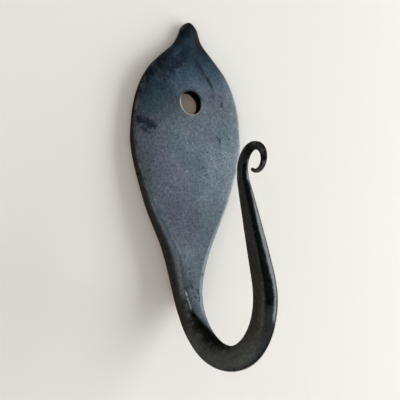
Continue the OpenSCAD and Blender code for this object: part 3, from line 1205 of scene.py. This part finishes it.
@dataclass(frozen=True)
class ForgeScale:
    """The hook's finish: blue-grey forge scale over dark iron, rubbed with wax, with light and shade painted
    into its colour.

    Four numbers are the range that a value is carried from and the range it is carried to. Two numbers are
    the first of these, or the levels at 0 and at 1.
    """

    name: str = "forged_iron"
    slate: Colour = (0.084, 0.104, 0.121)
    shade: Colour = (0.051, 0.070, 0.087)
    plum: Colour = (0.074, 0.080, 0.106)
    teal: Colour = (0.054, 0.088, 0.094)
    navy: Colour = (0.012, 0.023, 0.042)
    soot: Colour = (0.012, 0.014, 0.017)
    # Painted shade towards the leaf's top: darker and bluer.
    top_shade: Colour = (0.27, 0.43, 0.58)
    black: Colour = (0.034, 0.032, 0.027)
    # Painted light: the greyer black of the lit bend.
    grey: Colour = (0.031, 0.033, 0.030)
    sheen: Colour = (0.025, 0.028, 0.028)
    # Painted shade: the bore is near black.
    bore: Colour = (0.002, 0.002, 0.002)
    # Bare metal of the scratches and of the hole's front rim, where it is also a painted highlight.
    bare: Colour = (0.42, 0.44, 0.45)
    # Wear on the front corners, and a painted highlight along the bar's ridges.
    worn: Colour = (0.20, 0.21, 0.21)
    rust: Colour = (0.060, 0.040, 0.026)

    shade_clouds: Blotch = Blotch(95.0, 0.36, 0.62, 0.006, 3.1)
    plum_clouds: Blotch = Blotch(120.0, 0.50, 0.68, 0.005, 8.4)
    teal_clouds: Blotch = Blotch(140.0, 0.52, 0.68, 0.004, 5.7)
    wear_clouds: Blotch = Blotch(420.0, 0.42, 0.62, 0.002, 1.3)
    rust_clouds: Blotch = Blotch(160.0, 0.46, 0.62, 0.005, 9.9)
    dark_spots: Spots = Spots(1500.0, 0.5, 0.5)
    light_spots: Spots = Spots(1900.0, 0.5, 0.5)
    pits: Spots = Spots(560.0, 0.26, 0.26)
    dusk_noise: Noise = Noise(420.0, 4.0, 0.6, 4.4)
    grain: Noise = Noise(1500.0, 4.0, 0.62, 2.0)
    waves: Noise = Noise(330.0, 3.0, 0.5, 6.0)

    tint_share: float = 0.4
    dusk_ragged: float = 1.2
    # The tones over which the painted light on the bend turns the black grey.
    grey_tones: Span = (1.0, 1.9)
    dark_level: float = 0.5
    light_level: float = 1.5
    grain_levels: Ranges = (0.3, 0.7, 0.72, 1.32)
    pit_shares: Span = (0.25, 0.75)
    # Shares of wear and painted highlight on the bar and on the leaf's scale.
    wear_shares: Span = (0.4, 0.12)
    # The rim's painted highlight: bright low on the rim, faint high on it.
    rim_levels: Ranges = (-0.001, 0.002, 0.6, 0.08)
    rust_share: float = 0.7
    rust_depths: Span = (-0.0012, -0.0001)
    rust_heights: Span = (-0.052, -0.046)

    metallic: Span = (0.92, 0.45)
    refraction: float = 1.5
    specular: float = 0.3
    specular_tint: Colour = (0.3, 0.3, 0.3)
    rough_levels: Ranges = (0.25, 0.75, 0.62, 0.74)
    face_smooth: float = 0.18
    polish_smooth: float = 0.53
    pit_rough: float = 0.2
    bright_smooth: float = 0.12
    wave_height: float = 0.9
    grain_height: float = 0.22
    pit_height: float = 0.12
    polish_relief: Span = (1.0, 0.3)
    relief: float = 0.45
    relief_depth: float = 0.00025

    def build(self) -> bpy.types.Material:
        """Makes the material.

        Returns:
            The material, with constant numbers on the shader's sockets wherever nothing varies.
        """
        material, t = blank_material(self.name)
        layers = ForgeLayers(self, t)
        inputs = {
            "Base Color": layers.colour(),
            # Painted shade: the bore is fully metallic with a near-black colour, so it shows almost nothing.
            "Metallic": t.math("MAXIMUM", layers.by("face", self.metallic), layers.guide["bore"]),
            "Roughness": layers.roughness(),
            "IOR": self.refraction,
            "Specular IOR Level": self.specular,
            "Specular Tint": self.specular_tint,
        }
        shader = t.add("BsdfPrincipled", inputs)
        bump = {"Height": layers.relief(), "Strength": self.relief, "Distance": self.relief_depth}
        t.feed(shader.inputs["Normal"], t.add("Bump", bump).outputs["Normal"])
        t.add("OutputMaterial", {"Surface": shader.outputs["BSDF"]})
        return material


class ForgeLayers:
    """The nodes of the forge scale: its layers of colour, then its roughness and its fine relief."""

    guides = ("edge", "face", "polish", "top_shade", "shade", "tone", "bore", "rim")

    def __init__(self, look: ForgeScale, tree: Tree) -> None:
        """Places what more than one layer goes by.

        Args:
            look: The finish's colours and measures.
            tree: The material's tree.
        """
        self.look, self.tree, self.effects = look, tree, Effects()
        self.where = tree.add("TexCoord").outputs["Object"]
        self.guide = {name: tree.add("Attribute", attribute_name=name).outputs["Fac"] for name in self.guides}
        self.grain = tree.noise(self.where, look.grain)["Fac"]
        self.pits = self.spots(look.pits)
        self.worn = tree.times(self.guide["edge"], self.blotch(look.wear_clouds))
        self.bright = None
        for mask in self.masks(MarkKind.BRIGHT):
            self.bright = mask if self.bright is None else tree.math("MAXIMUM", self.bright, mask)

    def by(self, name: str, levels: Span) -> Socket:
        """Carries a guide from 0 and 1 onto two levels."""
        return self.tree.ramp(self.guide[name], 0.0, 1.0, *levels)

    def blotch(self, look: Blotch) -> Socket:
        """Gives the mask of cloudy patches."""
        return self.tree.group(self.effects.blotch, self.where, vars(look))

    def spots(self, look: Spots) -> Socket:
        """Gives the mask of scattered spots."""
        return self.tree.group(self.effects.pits, self.where, vars(look))

    def masks(self, kind: MarkKind) -> list[Socket]:
        """Gives the masks of all marks of one kind, each as strong as its mark is."""
        t, streak = self.tree, self.effects.streak
        return [t.times(t.group(streak, self.where, m.inputs()), m.strength) for m in MARKS[kind]]

    def leaf(self) -> Socket:
        """Colours the leaf: clouds of slate and shade, tints, the marks, a painted shade towards the point,
        and the painted light and shade along the leaf.

        Returns:
            The colour of the scale.
        """
        look, t = self.look, self.tree
        colour = t.mix(self.blotch(look.shade_clouds), look.shade, look.slate)
        for clouds, tint in ((look.plum_clouds, look.plum), (look.teal_clouds, look.teal)):
            colour = t.mix(t.times(self.blotch(clouds), look.tint_share), colour, tint)
        tints = {MarkKind.PLUM: look.plum, MarkKind.TEAL: look.teal}
        tints |= {MarkKind.NAVY: look.navy, MarkKind.LINE: look.soot}
        for kind, tint in tints.items():
            for mask in self.masks(kind):
                colour = t.mix(mask, colour, tint)
        # Painted shade: darker and bluer towards the top, with a ragged edge.
        top_shade = self.guide["top_shade"]
        ragged = t.math("SUBTRACT", t.noise(self.where, look.dusk_noise)["Fac"], 0.5)
        ragged = t.times(ragged, t.times(top_shade, look.dusk_ragged))
        top_shade = t.math("ADD", top_shade, ragged, clamp=True)
        colour = t.mix(top_shade, colour, t.mix(1.0, colour, look.top_shade, "MULTIPLY"))
        # Painted light and shade along the leaf, its edges and its tip.
        return t.dim(colour, self.guide["shade"])

    def bar(self) -> Socket:
        """Colours the sides and the bar: black, greyer and lighter on the bend by painted light, darker by
        painted shade on the scroll, the sides near the tip and inside the bend, with a sheen on the polished
        face.

        Returns:
            The colour of the bare iron.
        """
        look, t = self.look, self.tree
        black = t.mix(t.ramp(self.guide["tone"], *look.grey_tones), look.black, look.grey)
        return t.dim(t.mix(self.guide["polish"], black, look.sheen), self.guide["tone"])

    def speckle(self) -> Socket:
        """Multiplies dark spots, light spots and grain.

        Returns:
            A factor for the colour.
        """
        look, t = self.look, self.tree
        dark = t.ramp(self.spots(look.dark_spots), 0.0, 1.0, 1.0, look.dark_level)
        light = t.ramp(self.spots(look.light_spots), 0.0, 1.0, 1.0, look.light_level)
        return t.times(t.times(dark, light), t.ramp(self.grain, *look.grain_levels))

    def colour(self) -> Socket:
        """Lays the colours over one another: iron, scale, the hole's painted shade, speckle, pits, wear with
        a painted highlight on the bar, bare metal with a painted highlight on the rim, and rust.

        Returns:
            The finished colour.
        """
        look, t, place = self.look, self.tree, self.tree.add("SeparateXYZ", {0: self.where}).outputs
        colour = t.mix(self.guide["face"], self.bar(), self.leaf())
        # Painted shade: the bore is near black.
        colour = t.mix(self.guide["bore"], colour, look.bore)
        colour = t.dim(colour, self.speckle())
        depth, height = t.ramp(place["Y"], *look.rust_depths), t.ramp(place["Z"], *look.rust_heights)
        rear = t.times(depth, height)
        rusty = t.times(self.blotch(look.rust_clouds), look.rust_share)
        over = (
            (t.times(self.pits, self.by("face", look.pit_shares)), look.soot),
            # Wear on the front corners; on the bar it is stronger, a painted highlight along the ridges.
            (t.times(self.worn, self.by("face", look.wear_shares)), look.worn),
            # Bare metal on the front rim, brighter low on the rim than high: a painted highlight.
            (t.times(self.guide["rim"], t.ramp(place["Z"], *look.rim_levels)), look.bare),
            (self.bright, look.bare),
            (t.times(rear, rusty), look.rust),
        )
        for mask, tint in over:
            colour = t.mix(mask, colour, tint)
        return colour

    def roughness(self) -> Socket:
        """Starts from the grain, smooths the scale, the polish and the bright metal, and roughens the pits.

        Returns:
            The roughness.
        """
        look, t = self.look, self.tree
        rough = t.ramp(self.grain, *look.rough_levels)
        rough = t.math("SUBTRACT", rough, t.times(self.guide["face"], look.face_smooth))
        rough = t.math("SUBTRACT", rough, t.times(self.guide["polish"], look.polish_smooth))
        rough = t.math("ADD", rough, t.times(self.pits, look.pit_rough))
        bright = t.math("MAXIMUM", self.bright, self.worn)
        return t.math("SUBTRACT", rough, t.times(bright, look.bright_smooth), clamp=True)

    def relief(self) -> Socket:
        """Adds waves and grain, sinks the pits, and flattens it all where the bar is polished.

        Returns:
            The height that the bump goes by.
        """
        look, t = self.look, self.tree
        waves = t.times(t.noise(self.where, look.waves)["Fac"], look.wave_height)
        height = t.math("ADD", waves, t.times(self.grain, look.grain_height))
        height = t.math("SUBTRACT", height, t.times(self.pits, look.pit_height))
        return t.times(height, self.by("polish", look.polish_relief))


@dataclass(frozen=True)
class StudioSheet:
    """A plain pale sheet that runs down the wall and out over the floor. It shows only from its front."""

    gap: float = 0.5
    half_width: float = 1500.0
    top: float = 1500.0
    floor: float = -450.0
    cove: float = 120.0
    front: float = -1500.0
    cove_rows: int = 25
    columns: int = 9
    colour: Colour = (0.54, 0.54, 0.525)
    # Painted shade: brown in the nooks about the hook and in the hole.
    nook_colour: Colour = (0.54, 0.34, 0.19)
    nook_openness: Span = (0.05, 0.65)
    nook_reach: float = 20.0
    samples: int = 8
    near_glow: Colour = (0.90, 0.72, 0.54)
    far_glow: Colour = (0.80, 0.79, 0.765)
    glow_shares: Span = (0.18, 0.92)
    glow_reach: Span = (125.0, 330.0)

    def build(self) -> bpy.types.Object:
        """Makes the sheet: a line down the wall, a quarter circle, and a line out over the floor.

        Returns:
            The sheet.
        """
        turn = np.radians(np.linspace(0, 90, self.cove_rows))
        y = np.concatenate([[self.gap], self.gap - self.cove * (1 - np.cos(turn)), [self.front]])
        z = np.concatenate([[self.top], self.floor + self.cove * (1 - np.sin(turn)), [self.floor]])
        x = np.linspace(-self.half_width, self.half_width, self.columns)
        sheet = make_sheet("studio_sheet", x[None, :], y[:, None], z[:, None])
        sheet.data.materials.append(self.material())
        sheet.visible_shadow = False
        return sheet

    def material(self) -> bpy.types.Material:
        """Makes a matt finish, browner in nooks by painted shade, that is clear from behind.

        The camera, gloss and clear materials see a share of the sheet's own paleness, and the further from
        the hook the larger the share. That glow fades in nooks, a painted contact shade.

        Returns:
            The material.
        """
        material, t = blank_material("studio_sheet")
        reach = {"Distance": self.nook_reach * MM}
        # Painted shade: in nooks the sheet turns brown and its glow fades.
        openness = t.add("AmbientOcclusion", reach, samples=self.samples).outputs["AO"]
        tone = t.mix(t.ramp(openness, *self.nook_openness), self.nook_colour, self.colour)
        paint = t.add("BsdfDiffuse", {"Color": tone})
        away = t.vector("LENGTH", t.add("TexCoord").outputs["Object"], output="Value")
        near, far = (distance * MM for distance in self.glow_reach)
        tint = t.mix(t.ramp(away, near, far), self.near_glow, self.far_glow)
        glow = t.add("Emission", {"Color": tint, "Strength": openness})
        share = t.times(t.seen(), t.ramp(away, near, far, *self.glow_shares))
        pale = t.add("MixShader", {0: share, 1: paint.outputs[0], 2: glow.outputs[0]})
        behind, clear = t.add("NewGeometry").outputs["Backfacing"], t.add("BsdfTransparent")
        both = t.add("MixShader", {0: behind, 1: pale.outputs[0], 2: clear.outputs[0]})
        t.add("OutputMaterial", {"Surface": both.outputs[0]})
        return material


@dataclass(frozen=True)
class DarkRoom:
    """The dark side of the studio in front of the wall: half a drum with a lid, which only gloss shows."""

    radius: float = 1600.0
    lid_radius: float = 1.0
    low: float = -440.0
    high: float = 1400.0
    columns: int = 37
    colour: Colour = (0.05, 0.048, 0.045)

    def build(self) -> bpy.types.Object:
        """Makes the drum: half a circle about the hook, carried up and drawn in to a point above it.

        Returns:
            The drum.
        """
        turn = np.radians(np.linspace(0, 180, self.columns))[:, None]
        radius = np.array([self.radius, self.radius, self.lid_radius])[None, :]
        z = np.array([self.low, self.high, self.high])[None, :]
        drum = make_sheet("dark_room", radius * np.cos(turn), -radius * np.sin(turn), z)
        material, t = blank_material("dark_room")
        dim = t.add("Emission", {"Color": self.colour, "Strength": 1.0})
        t.add("OutputMaterial", {"Surface": dim.outputs[0]})
        drum.data.materials.append(material)
        drum.visible_camera = drum.visible_shadow = drum.visible_diffuse = False
        return drum


@dataclass(frozen=True)
class Softbox:
    """A soft flat lamp that faces the hook. Its place is in metres."""

    name: str
    place: Point
    width: float
    height: float
    level: float
    colour: Colour
    aim: Point = (0.0, 0.0, -0.02)

    def build(self) -> None:
        """Makes the lamp. Its level is its brightness, where 1 is white: its power over pi times its area."""
        lamp = bpy.data.lights.new(self.name, "AREA")
        lamp.shape, lamp.size, lamp.size_y = "RECTANGLE", self.width, self.height
        lamp.energy, lamp.color = self.level * math.pi * self.width * self.height, self.colour
        rig = bpy.data.objects.new(self.name, lamp)
        rig.location = self.place
        rig.rotation_euler = (Vector(self.aim) - Vector(self.place)).to_track_quat("-Z", "Y").to_euler()
        bpy.context.scene.collection.objects.link(rig)


LAMPS = (
    Softbox("window", (0.70, -0.27, 0.01), 0.58, 0.90, 10.3, (0.97, 0.99, 1.0)),
    Softbox("fill", (-0.58, -0.34, -0.60), 0.6, 0.6, 5.0, (1.0, 0.97, 0.93)),
    Softbox("side_fill", (-0.60, -0.50, 0.12), 0.35, 0.70, 1.9, (1.0, 0.98, 0.95)),
    Softbox("rear_fill", (0.35, 0.75, -0.25), 0.6, 0.6, 5.0, (0.95, 0.97, 1.0)),
)


@dataclass(frozen=True)
class Viewpoint:
    """The camera: where it stands, which way it looks in degrees, and its focal length in frame pixels."""

    place: Point = (-50.32, -91.55, -34.74)
    azimuth: float = -31.04
    elevation: float = -4.255
    roll: float = 0.234
    focal: float = 375.0
    frame: float = 400.0
    sensor: float = 36.0
    clip: Span = (0.002, 20.0)

    def build(self) -> None:
        """Makes the scene's camera from its forward, right and up directions."""
        az, el, roll = (math.radians(v) for v in (self.azimuth, self.elevation, self.roll))
        ahead = Vector((-math.sin(az) * math.cos(el), math.cos(az) * math.cos(el), -math.sin(el)))
        level = Vector((math.cos(az), math.sin(az), 0.0))
        upright = level.cross(ahead)
        right = math.cos(roll) * level + math.sin(roll) * upright
        up = math.cos(roll) * upright - math.sin(roll) * level
        data = bpy.data.cameras.new("viewpoint")
        data.sensor_width, data.lens = self.sensor, self.focal * self.sensor / self.frame
        data.clip_start, data.clip_end = self.clip
        camera = bpy.data.objects.new("viewpoint", data)
        turn = Matrix((right, up, -ahead)).transposed().to_4x4()
        camera.matrix_world = Matrix.Translation(Vector(self.place) * MM) @ turn
        bpy.context.scene.collection.objects.link(camera)
        bpy.context.scene.camera = camera


@dataclass(frozen=True)
class StudioWorld:
    """Plain light from all round, and a pale background for the camera, gloss and clear materials."""

    light: Colour = (0.9, 0.95, 1.0)
    level: float = 0.35
    pale: Colour = (0.82, 0.81, 0.79)

    def build(self) -> None:
        """Makes the scene's world."""
        world = bpy.data.worlds.new("studio")
        world.use_nodes = True
        world.node_tree.nodes.clear()
        t = Tree(world.node_tree)
        dim = t.add("Background", {"Color": self.light, "Strength": self.level})
        pale = t.add("Background", {"Color": self.pale, "Strength": 1.0})
        both = t.add("MixShader", {0: t.seen(), 1: dim.outputs[0], 2: pale.outputs[0]})
        t.add("OutputWorld", {"Surface": both.outputs[0]})
        bpy.context.scene.world = world


def main() -> None:
    """Builds the hook, its finish, the studio and the camera, and reports each piece."""
    logging.basicConfig(level=logging.INFO, format="%(name)s: %(message)s")
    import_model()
    scene = bpy.context.scene
    scene.view_settings.view_transform = "Standard"

    hook = ForgedHook().build()
    hook.data.materials.append(ForgeScale().build())
    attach(hook, "root")
    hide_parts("hook")

    sheet, room = StudioSheet().build(), DarkRoom().build()
    for piece in (hook, sheet, room):
        LOG.info("%s: %d places, %d faces", piece.name, len(piece.data.vertices), len(piece.data.polygons))
    for lamp in LAMPS:
        lamp.build()
    StudioWorld().build()
    Viewpoint().build()


if __name__ == "__main__":
    main()
